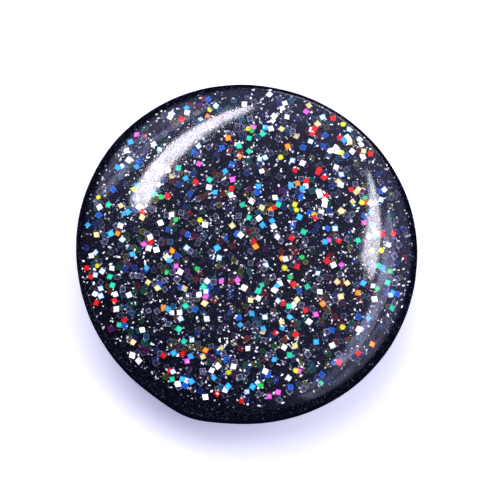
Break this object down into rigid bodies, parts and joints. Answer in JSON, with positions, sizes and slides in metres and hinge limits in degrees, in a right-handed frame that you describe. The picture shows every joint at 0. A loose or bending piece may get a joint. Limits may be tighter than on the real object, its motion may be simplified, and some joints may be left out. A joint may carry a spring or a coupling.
{
  "type": "enamel pin",
  "caption": "Round domed badge with a black glitter face under clear epoxy, two nail posts behind and a butterfly clutch on each.",
  "frame": {"origin": "centre of the bounding box at the floor, under the middle of the face, where the wing tips stand", "axes": "+Z out of the face, X along the line of the two posts, -Y towards the bottom of the face"},
  "size_m": [0.0319, 0.0321, 0.0134],
  "materials": {
    "black_nickel": "black nickel plate, satin",
    "black_enamel": "gloss",
    "glitter": "holographic flakes in clear resin",
    "epoxy": "clear, high gloss",
    "post_steel": "plated",
    "solder": "dull tin",
    "nickel": "bright nickel plate",
    "spring": "nickel-plated spring strip"
  },
  "bodies": {
    "badge": {"backing_plate": "black_nickel", "black_enamel": "black_enamel", "glitter_enamel": "glitter", "epoxy_dome": "epoxy", "left_post": "post_steel", "left_solder": "solder", "right_post": "post_steel", "right_solder": "solder"},
    "left_clutch": {"left_clutch_shell": "nickel"},
    "left_spring": {"left_spring_strip": "spring"},
    "left_front_wing": {"left_wing_front": "spring"},
    "left_rear_wing": {"left_wing_rear": "spring"},
    "right_clutch": {"right_clutch_shell": "nickel"},
    "right_spring": {"right_spring_strip": "spring"},
    "right_front_wing": {"right_wing_front": "spring"},
    "right_rear_wing": {"right_wing_rear": "spring"}
  },
  "joints": [
    {"name": "left_clutch_pull", "type": "slide", "parent": "badge", "child": "left_clutch", "axis": [0, 0, -1], "range_m": [-0.0005, 0.0075]},
    {"name": "left_clutch_spin", "type": "hinge", "parent": "left_clutch", "child": "left_spring", "pos_m": [-0.008, 0, 0.0054], "axis": [0, 0, 1], "continuous": true},
    {"name": "left_wing_pinch", "type": "slide", "parent": "left_spring", "child": "left_front_wing", "axis": [0, 1, 0], "range_m": [0, 0.00055], "stiffness_N_per_m": 3000},
    {"name": "left_wing_pinch_rear", "type": "slide", "parent": "left_spring", "child": "left_rear_wing", "axis": [0, -1, 0], "range_m": [0, 0.00055], "stiffness_N_per_m": 3000},
    {"name": "right_clutch_pull", "type": "slide", "parent": "badge", "child": "right_clutch", "axis": [0, 0, -1], "range_m": [-0.0005, 0.0075]},
    {"name": "right_clutch_spin", "type": "hinge", "parent": "right_clutch", "child": "right_spring", "pos_m": [0.008, 0, 0.0054], "axis": [0, 0, 1], "continuous": true},
    {"name": "right_wing_pinch", "type": "slide", "parent": "right_spring", "child": "right_front_wing", "axis": [0, 1, 0], "range_m": [0, 0.00055], "stiffness_N_per_m": 3000},
    {"name": "right_wing_pinch_rear", "type": "slide", "parent": "right_spring", "child": "right_rear_wing", "axis": [0, -1, 0], "range_m": [0, 0.00055], "stiffness_N_per_m": 3000}
  ],
  "couplings": [
    {"joint": "left_wing_pinch_rear", "follows": "left_wing_pinch", "ratio": 1},
    {"joint": "right_wing_pinch_rear", "follows": "right_wing_pinch", "ratio": 1}
  ]
}
